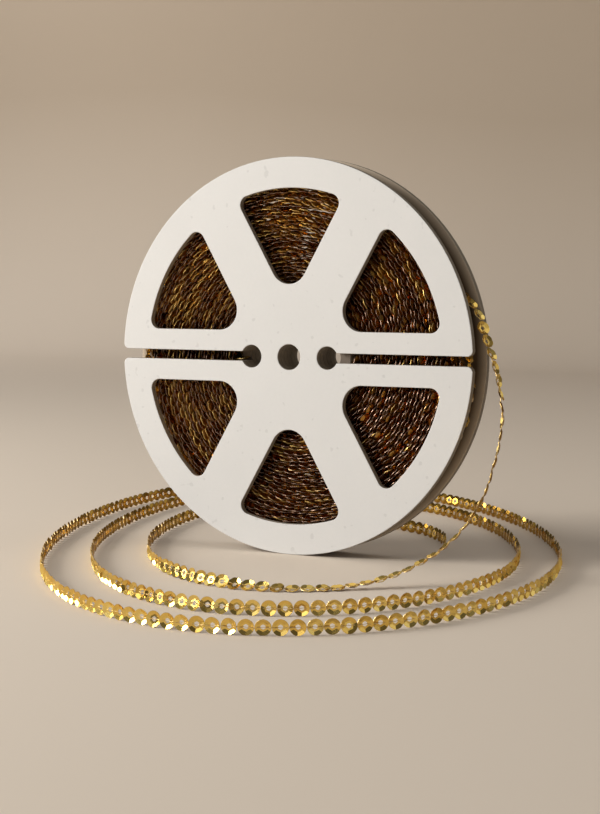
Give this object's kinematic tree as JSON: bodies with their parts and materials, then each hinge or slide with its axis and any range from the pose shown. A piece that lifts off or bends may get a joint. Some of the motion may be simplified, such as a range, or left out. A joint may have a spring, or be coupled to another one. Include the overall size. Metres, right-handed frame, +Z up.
{
  "type": "reel of sequin trim",
  "caption": "Flanged board reel, built up from die-cut plies, wound with a strand of gold cup sequins whose free end lies in loose loops on the table.",
  "frame": {"origin": "on the standing surface, under the middle of the reel's width and axis", "axes": "+Z up, +Y along the reel's axis from the slotted front flange to the back flange, +X to the right seen from the front"},
  "size_m": [0.2058, 0.267, 0.127],
  "materials": {
    "board": "white-lined grey board, matte, with cut grey edges",
    "sequins": "metallised gold film, mirror gloss",
    "wound_sequins": "tight-packed gold film seen on edge, dark amber",
    "thread": "fine gold-coloured sewing thread"
  },
  "bodies": {
    "strand": {"hanging_strand": "sequins", "table_loops": "sequins", "strand_tail": "sequins", "end_knot": "thread"},
    "reel": {"front_flange": "board", "hub_ply_1": "board", "hub_ply_2": "board", "hub_ply_3": "board", "hub_ply_4": "board", "back_flange": "board", "strand_start": "sequins", "wound_core": "wound_sequins", "outer_turns": "sequins"}
  },
  "joints": [
    {"name": "reel_spin", "type": "hinge", "parent": "strand", "child": "reel", "pos_m": [0, 0, 0.0635], "axis": [0, 1, 0], "continuous": true}
  ]
}
